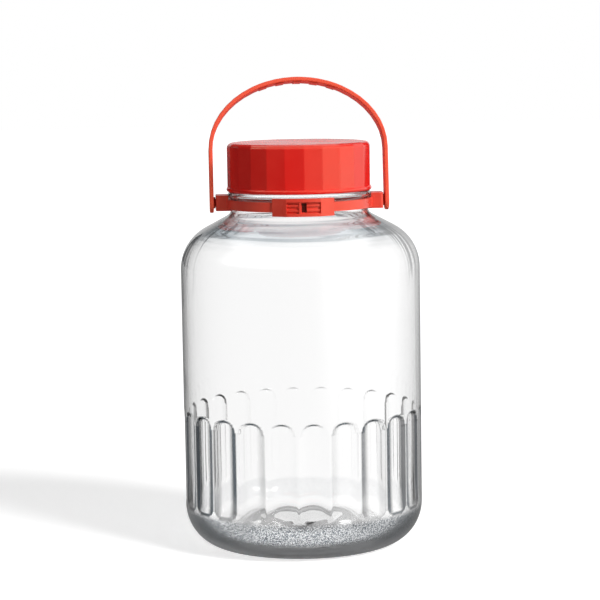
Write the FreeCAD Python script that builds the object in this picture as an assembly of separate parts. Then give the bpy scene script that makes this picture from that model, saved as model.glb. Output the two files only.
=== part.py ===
"""Five-litre glass storage jar with a screw lid, a neck collar and a bail handle.

Millimetres. The jar's axis is +Z and its foot stands on Z = 0. The collar's clasp
faces -Y, and the handle's hinge line lies along X.
"""
import FreeCAD
import Part
import math
import os

# Jar: outside
body_radius = 88.5
foot_outer_radius = 60.5      # flat ring that the jar stands on
foot_inner_radius = 49.0
heel_height = 31.0            # where the rounded heel meets the straight wall
wall_top = 205.9              # where the straight wall meets the shoulder
shoulder_radius = 34.7
shoulder_slope = 28.1         # degrees, straight run between shoulder and neck
neck_radius = 50.5
neck_fillet = 6.0
bead_radius = 52.8            # ring round the neck, just under the lid
bead_bottom = 258.3
bead_top = 263.1
finish_radius = 50.0          # mouth of the jar, inside the lid
rim_top = 297.0
rim_round = 1.2

# Jar: inside
wall = 3.5
neck_bore_radius = 46.8
inner_heel_radius = 22.0
floor_height = 8.5            # inside floor beside the heel
push_up = 8.5                 # rise of the base's middle, outside
middle_glass = 7.0            # glass thickness in the middle of the base
push_up_flat = 27.0           # radius of the flat middle of the base

# Flutes round the lower part of the wall
flute_count = 24
flute_turn = -5.7             # degrees, a land's place counted from -Y towards +X
flute_land = 2.0
flute_depth = 1.6
flute_top = 103.6
flute_top_rise = 8.8          # height of each flute's arch
flute_bottom = 30.0
flute_bottom_rise = 5.5       # height of each flute's rounded lower end

# Lid
lid_facets = 24
lid_turn = 0.9                # degrees, a corner's place counted from -Y towards +X
lid_radius = 52.9             # to the corners
lid_bottom = 263.4
lid_top = 299.0
lid_edge_round = 3.6
lid_bead_height = 3.1
lid_bead_radius = 53.6
lid_bore_radius = 50.5

# Collar round the neck
band_inner_radius = 50.9
band_outer_radius = 54.0
band_bottom = 250.9
band_top = 257.8
ledge_radius = 53.2           # inner face of clasp and lugs, beside the bead
lug_reach = 61.7              # outer face of each lug, along X
lug_depth = 17.0
lug_bottom = 249.5
lug_top = 261.0
lug_round = 2.0
lug_seat = 6.0                # how far a lug starts inside the band
clasp_radius = 58.0
clasp_half_width = 22.4
clasp_bottom = 248.0
clasp_top = 260.8
clasp_flat_half = 12.6        # beyond this the clasp's face slopes back to its ends
clasp_end_radius = 55.0       # how far out the sloped faces finish
clasp_round = 1.2
window_half_width = 12.3      # recess in the middle of the clasp
window_bottom = 250.2
window_top = 258.4
window_depth = 2.4
slot_left = -1.5              # deep slot where the collar's ends meet
slot_right = 2.2
slot_bottom = 250.9
slot_top = 257.6
slot_depth = 4.0
clasp_ribs = (252.4, 255.9)   # heights of the ribs that cross the recess
clasp_rib_height = 1.3
clasp_rib_proud = 1.3
clasp_seat = 0.5              # how far the clasp sinks into the band
post_left = -3.5
post_right = -2.1
post_sink = 0.4               # how far the post stops behind the clasp's face

# Handle
pin_height = 255.2
handle_lean = 9.5             # degrees backwards from upright, as stored
strap_outer = 66.2
strap_thickness = 3.0
strap_width = 15.0
leg_height = 39.0             # from the pins to where the arch starts
arch_height = 52.5
boss_radius = 4.2
boss_gap = 0.3                # between a boss and its lug
pin_radius = 3.0
pin_clearance = 0.05
pin_end = 56.5
bore_end = 56.0
grip_ribs = (-26.0, -13.0, 0.0, 13.0, 26.0)
grip_rib_width = 6.0
grip_rib_proud = 0.6
grip_rib_margin = 1.5

# Working allowances, none of which shows on the finished part
overlap = 0.2                 # how far a rib or bead sinks into what carries it
overcut = 1.0                 # how far a cutter runs past the face that it opens
slice_margin = 5.0
edge_tolerance = 0.1          # for picking out the edges to round


def at(r, z):
    """A point of a turned outline, drawn in the XZ plane."""
    return FreeCAD.Vector(r, 0, z)


def line(start, end):
    return Part.LineSegment(start, end).toShape()


def arc(centre, radius, start_angle, end_angle):
    """A round stretch of an outline, from one angle in degrees to another."""
    points = []
    for angle in (start_angle, (start_angle + end_angle) / 2, end_angle):
        turn = math.radians(angle)
        points.append(centre + at(radius * math.cos(turn), radius * math.sin(turn)))
    return Part.Arc(*points).toShape()


def ogee(start, end):
    """Two equal arcs that leave and arrive level, such as a push-up's flank."""
    run = end.x - start.x
    rise = end.z - start.z
    radius = (run ** 2 + rise ** 2) / (4 * abs(rise))
    swing = math.degrees(2 * math.atan2(abs(rise), abs(run)))
    up = 1 if rise > 0 else -1
    way = 1 if run > 0 else -1
    first_centre = start + at(0, up * radius)
    last_centre = end - at(0, up * radius)
    first = arc(first_centre, radius, -90 * up, (-90 + swing * way) * up)
    last = arc(last_centre, radius, (90 + swing * way) * up, 90 * up)
    return [first, last]


def heel_curve():
    """The rounded heel: a quarter of an ellipse from the foot up to the wall."""
    centre = at(foot_outer_radius, heel_height)
    width = body_radius - foot_outer_radius
    ellipse = Part.Ellipse(centre + at(0, heel_height), centre + at(width, 0), centre)
    foot = ellipse.parameter(at(foot_outer_radius, 0))
    wall_foot = ellipse.parameter(at(body_radius, heel_height))
    low, high = sorted((foot, wall_foot))
    if high - low > math.pi:
        low, high = high, low + 2 * math.pi
    return Part.ArcOfEllipse(ellipse, low, high).toShape()


def shoulder_and_neck(offset, neck, fillet):
    """Shoulder arc, straight slope and neck fillet, upwards from the wall.

    offset is how far the curve lies inside the jar's outside. Returns the edges
    and the height where the neck starts.
    """
    slope = math.radians(shoulder_slope)
    centre = at(body_radius - shoulder_radius, wall_top)
    radius = shoulder_radius - offset
    shoulder = arc(centre, radius, 0, 90 - shoulder_slope)
    normal = at(math.sin(slope), math.cos(slope))
    shoulder_end = centre + normal * radius
    middle_r = neck + fillet
    middle_z = shoulder_end.z + (fillet - (middle_r - shoulder_end.x) * normal.x) / normal.z
    middle = at(middle_r, middle_z)
    fillet_start = middle - normal * fillet
    slope_run = line(shoulder_end, fillet_start)
    neck_fillet_arc = arc(middle, fillet, 270 - shoulder_slope, 180)
    return [shoulder, slope_run, neck_fillet_arc], middle_z


def half_ellipse(centre, half_width, rise):
    """Half an ellipse in an upright plane along X, above its centre or below it."""
    side = centre + FreeCAD.Vector(half_width, 0, 0)
    crown = centre + FreeCAD.Vector(0, 0, rise)
    if half_width > abs(rise):
        ellipse = Part.Ellipse(side, crown, centre)
    else:
        ellipse = Part.Ellipse(crown, side, centre)
    middle = ellipse.parameter(crown)
    return Part.ArcOfEllipse(ellipse, middle - math.pi / 2, middle + math.pi / 2).toShape()


def turned(edges):
    """The solid that a closed outline makes round the Z axis."""
    outline = Part.Wire(Part.__sortEdges__(edges))
    face = Part.Face(outline)
    solid = face.revolve(FreeCAD.Vector(0, 0, 0), FreeCAD.Vector(0, 0, 1), 360)
    if solid.ShapeType != "Solid":
        solid = Part.Solid(Part.Shell(solid.Faces))
    return solid


def jar_outside():
    """The whole jar with no hollow."""
    shoulder, neck_start = shoulder_and_neck(0, neck_radius, neck_fillet)
    edges = [line(at(0, push_up), at(push_up_flat, push_up))]
    edges += ogee(at(push_up_flat, push_up), at(foot_inner_radius, 0))
    edges.append(line(at(foot_inner_radius, 0), at(foot_outer_radius, 0)))
    edges.append(heel_curve())
    edges.append(line(at(body_radius, heel_height), at(body_radius, wall_top)))
    edges += shoulder
    edges.append(line(at(neck_radius, neck_start), at(neck_radius, bead_bottom)))
    bead_middle = at(bead_radius, (bead_bottom + bead_top) / 2)
    bead = Part.Arc(at(neck_radius, bead_bottom), bead_middle, at(neck_radius, bead_top))
    edges.append(bead.toShape())
    edges.append(line(at(neck_radius, bead_top), at(finish_radius, bead_top)))
    edges.append(line(at(finish_radius, bead_top), at(finish_radius, rim_top - rim_round)))
    corner = at(finish_radius - rim_round, rim_top - rim_round)
    edges.append(arc(corner, rim_round, 0, 90))
    edges.append(line(at(finish_radius - rim_round, rim_top), at(0, rim_top)))
    edges.append(line(at(0, rim_top), at(0, push_up)))
    return turned(edges)


def jar_hollow():
    """The space inside the jar, open at the rim."""
    inside = body_radius - wall
    floor_edge = inside - inner_heel_radius
    floor_middle = push_up + middle_glass
    shoulder, neck_start = shoulder_and_neck(wall, neck_bore_radius, neck_fillet + wall)
    heel_centre = at(floor_edge, floor_height + inner_heel_radius)
    lip = at(neck_bore_radius + rim_round, rim_top - rim_round)
    edges = [line(at(0, floor_middle), at(push_up_flat, floor_middle))]
    edges += ogee(at(push_up_flat, floor_middle), at(foot_inner_radius + wall, floor_height))
    edges.append(line(at(foot_inner_radius + wall, floor_height), at(floor_edge, floor_height)))
    edges.append(arc(heel_centre, inner_heel_radius, -90, 0))
    edges.append(line(at(inside, heel_centre.z), at(inside, wall_top)))
    edges += shoulder
    edges.append(line(at(neck_bore_radius, neck_start), at(neck_bore_radius, lip.z)))
    edges.append(arc(lip, rim_round, 180, 90))
    edges.append(line(at(lip.x, rim_top), at(lip.x, rim_top + overcut)))
    edges.append(line(at(lip.x, rim_top + overcut), at(0, rim_top + overcut)))
    edges.append(line(at(0, rim_top + overcut), at(0, floor_middle)))
    return turned(edges)


def flute_cutter():
    """One scoop at -Y: arched at the top, shallower at its rounded foot."""
    pitch = 2 * math.pi * body_radius / flute_count
    half = (pitch - flute_land) / 2
    chord = math.sqrt(body_radius ** 2 - half ** 2)
    sagitta = chord - (body_radius - flute_depth)
    scoop_radius = (half ** 2 + sagitta ** 2) / (2 * sagitta)
    scoop_axis = FreeCAD.Vector(0, -(body_radius - flute_depth + scoop_radius), 0)
    scoop = Part.makeCylinder(scoop_radius, body_radius * 2, scoop_axis)
    near = -body_radius / 2
    spring = FreeCAD.Vector(0, near, flute_top - flute_top_rise)
    foot = FreeCAD.Vector(0, near, flute_bottom + flute_bottom_rise)
    side = FreeCAD.Vector(half, 0, 0)
    edges = [
        half_ellipse(spring, half, flute_top_rise),
        line(spring + side, foot + side),
        half_ellipse(foot, half, -flute_bottom_rise),
        line(foot - side, spring - side),
    ]
    outline = Part.Wire(Part.__sortEdges__(edges))
    prism = Part.Face(outline).extrude(FreeCAD.Vector(0, -body_radius, 0))
    return scoop.common(prism)


def around(shape, count, first_angle):
    """Copies of a shape that faces -Y, evenly spaced round the jar's axis."""
    copies = []
    for step in range(count):
        copy = shape.copy()
        angle = first_angle + step * 360 / count
        copy.rotate(FreeCAD.Vector(0, 0, 0), FreeCAD.Vector(0, 0, 1), angle)
        copies.append(copy)
    return copies


def make_jar():
    half_pitch = 180 / flute_count
    flutes = around(flute_cutter(), flute_count, flute_turn + half_pitch)
    return jar_outside().cut(jar_hollow()).cut(Part.makeCompound(flutes))


def make_lid():
    """A hollow cap with flat facets, a rounded top edge and a bead at its foot."""
    corners = []
    for step in range(lid_facets + 1):
        turn = math.radians(lid_turn - 90 + (step % lid_facets) * 360 / lid_facets)
        x = lid_radius * math.cos(turn)
        y = lid_radius * math.sin(turn)
        corners.append(FreeCAD.Vector(x, y, lid_bottom))
    facets = Part.Face(Part.makePolygon(corners)).extrude(FreeCAD.Vector(0, 0, lid_top - lid_bottom))
    round_centre = at(lid_radius - lid_edge_round, lid_top - lid_edge_round)
    dome = turned([
        line(at(0, lid_bottom), at(lid_radius, lid_bottom)),
        line(at(lid_radius, lid_bottom), at(lid_radius, round_centre.z)),
        arc(round_centre, lid_edge_round, 0, 90),
        line(at(round_centre.x, lid_top), at(0, lid_top)),
        line(at(0, lid_top), at(0, lid_bottom)),
    ])
    inner = lid_bore_radius - overcut
    bead_middle = at(lid_bead_radius, lid_bottom + lid_bead_height / 2)
    bead_low = at(lid_radius - overlap, lid_bottom)
    bead_high = at(lid_radius - overlap, lid_bottom + lid_bead_height)
    bead = turned([
        line(at(inner, lid_bottom), bead_low),
        Part.Arc(bead_low, bead_middle, bead_high).toShape(),
        line(bead_high, at(inner, lid_bottom + lid_bead_height)),
        line(at(inner, lid_bottom + lid_bead_height), at(inner, lid_bottom)),
    ])
    bore = Part.makeCylinder(lid_bore_radius, rim_top - lid_bottom, at(0, lid_bottom))
    return facets.common(dome).fuse(bead).cut(bore).removeSplitter()


def ring(inner, outer, bottom, top):
    height = top - bottom
    tube = Part.makeCylinder(outer, height, at(0, bottom))
    return tube.cut(Part.makeCylinder(inner, height, at(0, bottom)))


def clasp_slice(left, right, inner, outer, bottom, top):
    """The part of a ring in front of the neck that lies between two places in X."""
    reach = clasp_radius + slice_margin
    corner = FreeCAD.Vector(left, -reach, bottom)
    window = Part.makeBox(right - left, reach, top - bottom, corner)
    return ring(inner, outer, bottom, top).common(window)


def clasp_wedge(side):
    """What is cut from one end of the clasp, so that its face slopes back."""
    high = FreeCAD.Vector(side * clasp_flat_half,
                          -math.sqrt(clasp_radius ** 2 - clasp_flat_half ** 2), clasp_bottom)
    low = FreeCAD.Vector(side * clasp_half_width,
                         -math.sqrt(clasp_end_radius ** 2 - clasp_half_width ** 2), clasp_bottom)
    beyond = low + (low - high)
    out = -clasp_radius - slice_margin
    corners = [high, beyond, FreeCAD.Vector(beyond.x, out, clasp_bottom),
               FreeCAD.Vector(high.x, out, clasp_bottom), high]
    face = Part.Face(Part.makePolygon(corners))
    return face.extrude(FreeCAD.Vector(0, 0, clasp_top - clasp_bottom))


def make_clasp():
    """The raised clasp: sloped ends, and a ribbed recess with a deep slot between them."""
    block = clasp_slice(-clasp_half_width, clasp_half_width, band_outer_radius - clasp_seat,
                        clasp_radius, clasp_bottom, clasp_top)
    for side in (-1, 1):
        block = block.cut(clasp_wedge(side))
    outer_edges = []
    for edge in block.Edges:
        middle = edge.CenterOfMass
        upright = abs(edge.tangentAt(edge.FirstParameter).z) > 0.99
        if upright and math.hypot(middle.x, middle.y) > clasp_radius - edge_tolerance:
            outer_edges.append(edge)
    block = block.makeFillet(clasp_round, outer_edges)
    recess_floor = clasp_radius - window_depth
    recess = clasp_slice(-window_half_width, window_half_width, recess_floor,
                         clasp_radius + overcut, window_bottom, window_top)
    block = block.cut(recess)
    for height in clasp_ribs:
        low = height - clasp_rib_height / 2
        rib = clasp_slice(-window_half_width, window_half_width, recess_floor - overlap,
                          recess_floor + clasp_rib_proud, low, low + clasp_rib_height)
        block = block.fuse(rib)
    slot = clasp_slice(slot_left, slot_right, clasp_radius - slot_depth,
                       clasp_radius + overcut, slot_bottom, slot_top)
    post = clasp_slice(post_left, post_right, recess_floor - overlap, clasp_radius - post_sink,
                       window_bottom, window_top)
    return block.cut(slot).fuse(post)


def make_lug(side):
    """The block that carries one pin, with its bore facing outwards."""
    inner = band_inner_radius
    depth = lug_depth / 2
    block = Part.makeBox(lug_reach - inner + lug_seat, lug_depth, lug_top - lug_bottom,
                         FreeCAD.Vector(inner - lug_seat, -depth, lug_bottom))
    corners = []
    for edge in block.Edges:
        middle = edge.CenterOfMass
        if middle.x > lug_reach - edge_tolerance and abs(middle.y) > depth - edge_tolerance:
            corners.append(edge)
    block = block.makeFillet(lug_round, corners)
    bore = Part.makeCylinder(pin_radius + pin_clearance, lug_reach - bore_end,
                             FreeCAD.Vector(bore_end, 0, pin_height), FreeCAD.Vector(1, 0, 0))
    block = block.cut(bore)
    if side < 0:
        block = block.mirror(FreeCAD.Vector(0, 0, 0), FreeCAD.Vector(1, 0, 0))
    return block


def make_collar():
    collar = ring(band_inner_radius, band_outer_radius, band_bottom, band_top)
    collar = collar.fuse(make_clasp())
    for side in (-1, 1):
        collar = collar.fuse(make_lug(side))
    neck_room = Part.makeCylinder(band_inner_radius, lug_top, at(0, 0))
    bead_room = Part.makeCylinder(ledge_radius, lug_top, at(0, band_top))
    return collar.cut(neck_room).cut(bead_room).removeSplitter()


def arch_face(outset):
    """Half-ellipse on two legs, upright in the XZ plane over the pins."""
    half = FreeCAD.Vector(strap_outer - outset, 0, 0)
    spring = FreeCAD.Vector(0, 0, leg_height)
    foot = FreeCAD.Vector(0, 0, -strap_width)
    edges = [
        line(foot - half, spring - half),
        half_ellipse(spring, half.x, arch_height - outset),
        line(spring + half, foot + half),
        line(foot + half, foot - half),
    ]
    return Part.Face(Part.Wire(Part.__sortEdges__(edges)))


def arch_solid(outset, width):
    face = arch_face(outset)
    face.translate(FreeCAD.Vector(0, -width / 2, 0))
    return face.extrude(FreeCAD.Vector(0, width, 0))


def make_handle():
    """A flat strap bent over the lid, with a pin and boss inside each end."""
    strap = arch_solid(0, strap_width).cut(arch_solid(strap_thickness, strap_width + 2 * overcut))
    half = strap_width / 2
    length = 2 * strap_outer + 2 * overcut
    side_view = [
        line(FreeCAD.Vector(0, -half, 0), FreeCAD.Vector(0, -half, 2 * arch_height)),
        line(FreeCAD.Vector(0, -half, 2 * arch_height), FreeCAD.Vector(0, half, 2 * arch_height)),
        line(FreeCAD.Vector(0, half, 2 * arch_height), FreeCAD.Vector(0, half, 0)),
        Part.Arc(FreeCAD.Vector(0, half, 0), FreeCAD.Vector(0, 0, -half),
                 FreeCAD.Vector(0, -half, 0)).toShape(),
    ]
    rounded = Part.Face(Part.Wire(Part.__sortEdges__(side_view)))
    rounded.translate(FreeCAD.Vector(-length / 2, 0, 0))
    handle = strap.common(rounded.extrude(FreeCAD.Vector(length, 0, 0)))
    rib_width = strap_width - 2 * grip_rib_margin
    rib_layer = arch_solid(strap_thickness - overlap, rib_width).cut(
        arch_solid(strap_thickness + grip_rib_proud, rib_width + 2 * overcut))
    for place in grip_ribs:
        corner = FreeCAD.Vector(place - grip_rib_width / 2, -strap_width, leg_height)
        window = Part.makeBox(grip_rib_width, 2 * strap_width, 2 * arch_height, corner)
        handle = handle.fuse(rib_layer.common(window))
    for side in (-1, 1):
        way = FreeCAD.Vector(-side, 0, 0)
        inner_face = FreeCAD.Vector(side * (strap_outer - strap_thickness / 2), 0, 0)
        boss_length = inner_face.x * side - lug_reach - boss_gap
        pin_length = inner_face.x * side - pin_end
        handle = handle.fuse(Part.makeCylinder(boss_radius, boss_length, inner_face, way))
        handle = handle.fuse(Part.makeCylinder(pin_radius, pin_length, inner_face, way))
    handle = handle.removeSplitter()
    handle.rotate(FreeCAD.Vector(0, 0, 0), FreeCAD.Vector(1, 0, 0), -handle_lean)
    handle.translate(FreeCAD.Vector(0, 0, pin_height))
    return handle


parts = {
    "glass_jar": make_jar(),
    "screw_lid": make_lid(),
    "neck_collar": make_collar(),
    "bail_handle": make_handle(),
}

os.makedirs("parts", exist_ok=True)
for name, shape in parts.items():
    solid = shape.Solids[0]
    solid.exportStep(f"parts/{name}.step")
    box = solid.optimalBoundingBox()
    print(f"{name}: solids {len(shape.Solids)}, valid {solid.isValid()}, {solid.Volume / 1000:.1f} cm3,"
          f" X {box.XMin:.1f}..{box.XMax:.1f} Y {box.YMin:.1f}..{box.YMax:.1f}"
          f" Z {box.ZMin:.1f}..{box.ZMax:.1f}")
print(f"room inside the jar: {jar_hollow().Volume / 1e6:.2f} litres")
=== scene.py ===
import math
import random

import bmesh
import bpy
from mathutils import Matrix, Vector


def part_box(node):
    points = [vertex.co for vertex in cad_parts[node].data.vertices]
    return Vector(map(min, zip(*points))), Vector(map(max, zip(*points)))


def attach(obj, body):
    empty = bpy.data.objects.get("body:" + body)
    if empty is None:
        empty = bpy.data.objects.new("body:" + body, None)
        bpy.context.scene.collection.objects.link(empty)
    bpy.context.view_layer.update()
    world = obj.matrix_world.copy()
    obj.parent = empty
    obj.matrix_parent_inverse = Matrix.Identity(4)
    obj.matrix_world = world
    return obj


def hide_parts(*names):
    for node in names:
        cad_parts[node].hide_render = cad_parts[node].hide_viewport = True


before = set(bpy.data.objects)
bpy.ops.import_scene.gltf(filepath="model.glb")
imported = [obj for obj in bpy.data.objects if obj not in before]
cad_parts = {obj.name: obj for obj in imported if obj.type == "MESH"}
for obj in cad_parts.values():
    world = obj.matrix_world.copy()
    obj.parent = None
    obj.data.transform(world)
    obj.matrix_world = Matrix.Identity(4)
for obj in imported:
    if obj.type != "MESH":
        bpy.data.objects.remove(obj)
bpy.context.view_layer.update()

mm = 0.001
hair = 0.1 * mm             # how near counts as touching
mergeDistance = 0.004 * mm


def deselectAll():
    if bpy.context.object and bpy.context.object.mode != "OBJECT":
        bpy.ops.object.mode_set(mode="OBJECT")
    bpy.ops.object.select_all(action="DESELECT")


def pick(piece):
    deselectAll()
    piece.select_set(True)
    bpy.context.view_layer.objects.active = piece


def nameNew(name):
    piece = bpy.context.object
    piece.name = name
    piece.data.name = name
    return piece


def settle(piece):
    # puts the place and turn into the mesh and leaves the object at the origin
    pick(piece)
    bpy.ops.object.transform_apply(location=True, rotation=True, scale=True)


def selectFaces(piece, wanted):
    pick(piece)
    bpy.ops.object.mode_set(mode="EDIT")
    bpy.ops.mesh.select_mode(type="FACE")
    bpy.ops.mesh.select_all(action="DESELECT")
    mesh = bmesh.from_edit_mesh(piece.data)
    mesh.normal_update()
    for face in mesh.faces:
        if wanted(face.calc_center_median(), face.normal):
            face.select_set(True)
    bmesh.update_edit_mesh(piece.data)


def selectEdges(piece, wanted):
    pick(piece)
    bpy.ops.object.mode_set(mode="EDIT")
    bpy.ops.mesh.select_mode(type="EDGE")
    bpy.ops.mesh.select_all(action="DESELECT")
    mesh = bmesh.from_edit_mesh(piece.data)
    for edge in mesh.edges:
        first, second = edge.verts[0].co, edge.verts[1].co
        if wanted((first + second) / 2, (second - first).normalized()):
            edge.select_set(True)
    bmesh.update_edit_mesh(piece.data)


def backToObject():
    bpy.ops.object.mode_set(mode="OBJECT")


def closeUp(piece):
    # merges doubles and turns every face outwards
    pick(piece)
    bpy.ops.object.mode_set(mode="EDIT")
    bpy.ops.mesh.select_all(action="SELECT")
    bpy.ops.mesh.remove_doubles(threshold=mergeDistance)
    bpy.ops.mesh.normals_make_consistent(inside=False)
    backToObject()


def applyModifiers(piece):
    pick(piece)
    for modifier in list(piece.modifiers):
        bpy.ops.object.modifier_apply(modifier=modifier.name)


def cutOrJoin(piece, other, operation):
    modifier = piece.modifiers.new("join", "BOOLEAN")
    modifier.operation = operation
    modifier.solver = "EXACT"
    modifier.object = other
    applyModifiers(piece)
    bpy.data.objects.remove(other)


def softenEdges(piece, width, segments, angle):
    modifier = piece.modifiers.new("soften", "BEVEL")
    modifier.width = width
    modifier.segments = segments
    modifier.limit_method = "ANGLE"
    modifier.angle_limit = math.radians(angle)
    applyModifiers(piece)


def shadeMoulded(piece):
    # large faces stay flat and the narrow ones beside them carry the turn
    pick(piece)
    bpy.ops.object.shade_smooth()
    modifier = piece.modifiers.new("flats", "WEIGHTED_NORMAL")
    modifier.weight = 100
    modifier.keep_sharp = False
    applyModifiers(piece)


def drawOutline(name, points, closed=False):
    # one vertex, extruded from point to point in the XZ plane
    deselectAll()
    bpy.ops.mesh.primitive_plane_add(size=mm, location=(0, 0, 0))
    piece = nameNew(name)
    bpy.ops.object.mode_set(mode="EDIT")
    bpy.ops.mesh.select_mode(type="VERT")
    bpy.ops.mesh.select_all(action="SELECT")
    bpy.ops.mesh.merge(type="CENTER")
    bpy.ops.transform.translate(value=(points[0][0], 0, points[0][1]))
    route = list(points) + ([points[0]] if closed else [])
    for start, end in zip(route, route[1:]):
        step = (end[0] - start[0], 0, end[1] - start[1])
        bpy.ops.mesh.extrude_region_move(TRANSFORM_OT_translate={"value": step})
    if closed:
        bpy.ops.mesh.select_all(action="SELECT")
        bpy.ops.mesh.remove_doubles(threshold=mergeDistance)
    return piece


def spinOn(angle, steps, copies=False):
    # the axis points down so that a positive angle turns from +X towards +Y
    bpy.ops.mesh.spin(steps=steps, angle=angle, center=(0, 0, 0), axis=(0, 0, -1), dupli=copies)


def arcPoints(centre, radius, startAngle, endAngle, steps):
    points = []
    for step in range(steps + 1):
        turn = math.radians(startAngle + (endAngle - startAngle) * step / steps)
        points.append((centre[0] + radius * math.cos(turn), centre[1] + radius * math.sin(turn)))
    return points


def runPoints(start, end, steps):
    return [(start[0] + (end[0] - start[0]) * step / steps,
             start[1] + (end[1] - start[1]) * step / steps) for step in range(1, steps + 1)]


shelfView = {
    "distance": 1.645,        # from the jar's axis, measured level
    "height": 0.3745,
    "turn": -3.2,             # degrees round the axis, from -Y towards +X
    "down": 6.69,             # degrees below level
    "aside": 0.021,           # aims a hair to the jar's right
    "roll": 0.92,
    "lens": 133.74,
    "sensor": 36,
    "clip": 50,
}


def makeCamera():
    turn = math.radians(shelfView["turn"])
    far = shelfView["distance"]
    place = Vector((far * math.sin(turn), -far * math.cos(turn), shelfView["height"]))
    aim = turn + math.radians(shelfView["aside"])
    down = math.radians(shelfView["down"])
    roll = math.radians(shelfView["roll"])
    forward = Vector((-math.sin(aim) * math.cos(down), math.cos(aim) * math.cos(down), -math.sin(down)))
    level = forward.cross(Vector((0, 0, 1))).normalized()
    upright = level.cross(forward)
    up = upright * math.cos(roll) + level * math.sin(roll)
    right = forward.cross(up)
    data = bpy.data.cameras.new("shelfView")
    data.lens = shelfView["lens"]
    data.sensor_width = shelfView["sensor"]
    data.clip_end = shelfView["clip"]
    camera = bpy.data.objects.new("shelfView", data)
    bpy.context.collection.objects.link(camera)
    matrix = Matrix((right, up, -forward)).transposed().to_4x4()
    matrix.translation = place
    camera.matrix_world = matrix
    bpy.context.scene.camera = camera


makeCamera()
print("camera set")


def addNode(tree, kind, **values):
    node = tree.nodes.new(kind)
    for key, value in values.items():
        setattr(node, key, value)
    return node


def plug(tree, value, socket):
    # a socket is linked and a plain value is set
    if hasattr(value, "is_output"):
        tree.links.new(value, socket)
    else:
        socket.default_value = value


def mathNode(tree, operation, first, second=None):
    node = addNode(tree, "ShaderNodeMath", operation=operation)
    plug(tree, first, node.inputs[0])
    if second is not None:
        plug(tree, second, node.inputs[1])
    return node.outputs[0]


def easeNode(tree, value, low, high, start, end):
    node = addNode(tree, "ShaderNodeMapRange", interpolation_type="SMOOTHSTEP")
    plug(tree, value, node.inputs["Value"])
    for name, number in (("From Min", low), ("From Max", high), ("To Min", start), ("To Max", end)):
        node.inputs[name].default_value = number
    return node.outputs["Result"]


def mixNumbers(tree, factor, first, second):
    node = addNode(tree, "ShaderNodeMix", data_type="FLOAT")
    for place, value in zip((0, 2, 3), (factor, first, second)):
        plug(tree, value, node.inputs[place])
    return node.outputs[0]


def mixColours(tree, factor, first, second):
    node = addNode(tree, "ShaderNodeMix", data_type="RGBA")
    for place, value in zip((0, 6, 7), (factor, first, second)):
        plug(tree, value, node.inputs[place])
    return node.outputs[2]


def timesNode(tree, first, *others):
    for other in others:
        first = mathNode(tree, "MULTIPLY", first, other)
    return first


def bandNode(tree, value, rise, fall):
    # 1 between two soft edges and 0 beyond them
    return timesNode(tree, easeNode(tree, value, *rise, 0, 1), easeNode(tree, value, *fall, 1, 0))


def vectorNode(tree, operation, *values):
    node = addNode(tree, "ShaderNodeVectorMath", operation=operation)
    for socket, value in zip(node.inputs, values):
        plug(tree, value, socket)
    return node.outputs[0]


def noiseNode(tree, place, scale, detail):
    node = addNode(tree, "ShaderNodeTexNoise")
    for name, value in (("Vector", place), ("Scale", scale), ("Detail", detail)):
        plug(tree, value, node.inputs[name])
    return node.outputs["Fac"]


def bumpNode(tree, height, strength, distance):
    node = addNode(tree, "ShaderNodeBump")
    for name, value in (("Height", height), ("Strength", strength), ("Distance", distance)):
        plug(tree, value, node.inputs[name])
    return node.outputs["Normal"]


studio = {
    "floorColour": (0.86, 0.86, 0.86, 1),
    "floorSize": 16,
    "floorGlow": 0.66,        # seen by the camera only, keeps the lit floor white
    "fill": 0.17,             # soft light from all round
    "keyPower": 2.75,
    "keyTurn": 45.0,          # degrees from -Y towards +X
    "keyHeight": 34.0,
    "keySoftness": 18.0,
}
# what is seen through the glass: a pair says where a level fades in or out, in degrees above level
seenThrough = {
    "level": 1.055,           # makes up what the faces of the glass send back
    "above": 0.50, "rise": (5, 24),
    "below": 0.95, "dip": (-62, -34),
    "bounced": 0.46,          # light that has turned inside the glass
    "bouncedAway": 0.64, "bouncedRise": (8, 30), "bouncedDip": (-40, -14),
}
# what gloss sees: its pairs are degrees above level, or shares of the way along X or Y
seenByGloss = {
    "front": 0.40, "left": 0.06, "leftToRight": (-0.5, 0.3),
    "rear": 0.84,             # pale wall behind
    "rearLow": 0.36,          # and below level, where upright edges mirror it
    "rearRise": (-3, 3), "rearSide": (0.30, 0.75),
    "darkBand": 0.06,         # between that wall and the light above
    "darkRise": (10, 24),
    "overhead": 3.0,          # soft light from above, which reaches lower in front
    "overheadFront": (14, 28), "overheadRear": (42, 54), "frontToRear": (-0.2, 0.2),
    "zenith": 1.9, "zenithRise": (60, 72),
    "softbox": 3.9,           # bright panel on the right
    "softboxRear": 1.5,       # and where it runs on behind
    "softboxBack": (-0.15, 0.45), "softboxSide": (0.12, 0.66),
    "softboxFoot": (-16, -2), "softboxTop": (26, 44),
    "window": 5.0,            # two small windows, partway up on either side
    "windowFoot": (20, 23), "windowTop": (37, 40),
    "windowTurns": (((37, 42), (67, 72)), ((-88, -83), (-69, -64))),   # degrees from -Y towards +X
}


def throughLevel(tree, height, bounces):
    s = seenThrough
    straight = mixNumbers(tree, easeNode(tree, height, *s["rise"], 0, 1), s["level"], s["above"])
    straight = mixNumbers(tree, easeNode(tree, height, *s["dip"], 1, 0), straight, s["below"])
    away = mathNode(tree, "MAXIMUM", easeNode(tree, height, *s["bouncedRise"], 0, 1),
                    easeNode(tree, height, *s["bouncedDip"], 1, 0))
    bounced = mixNumbers(tree, away, s["bounced"], s["bouncedAway"])
    return mixNumbers(tree, mathNode(tree, "GREATER_THAN", bounces, 0.5), straight, bounced)


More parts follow.
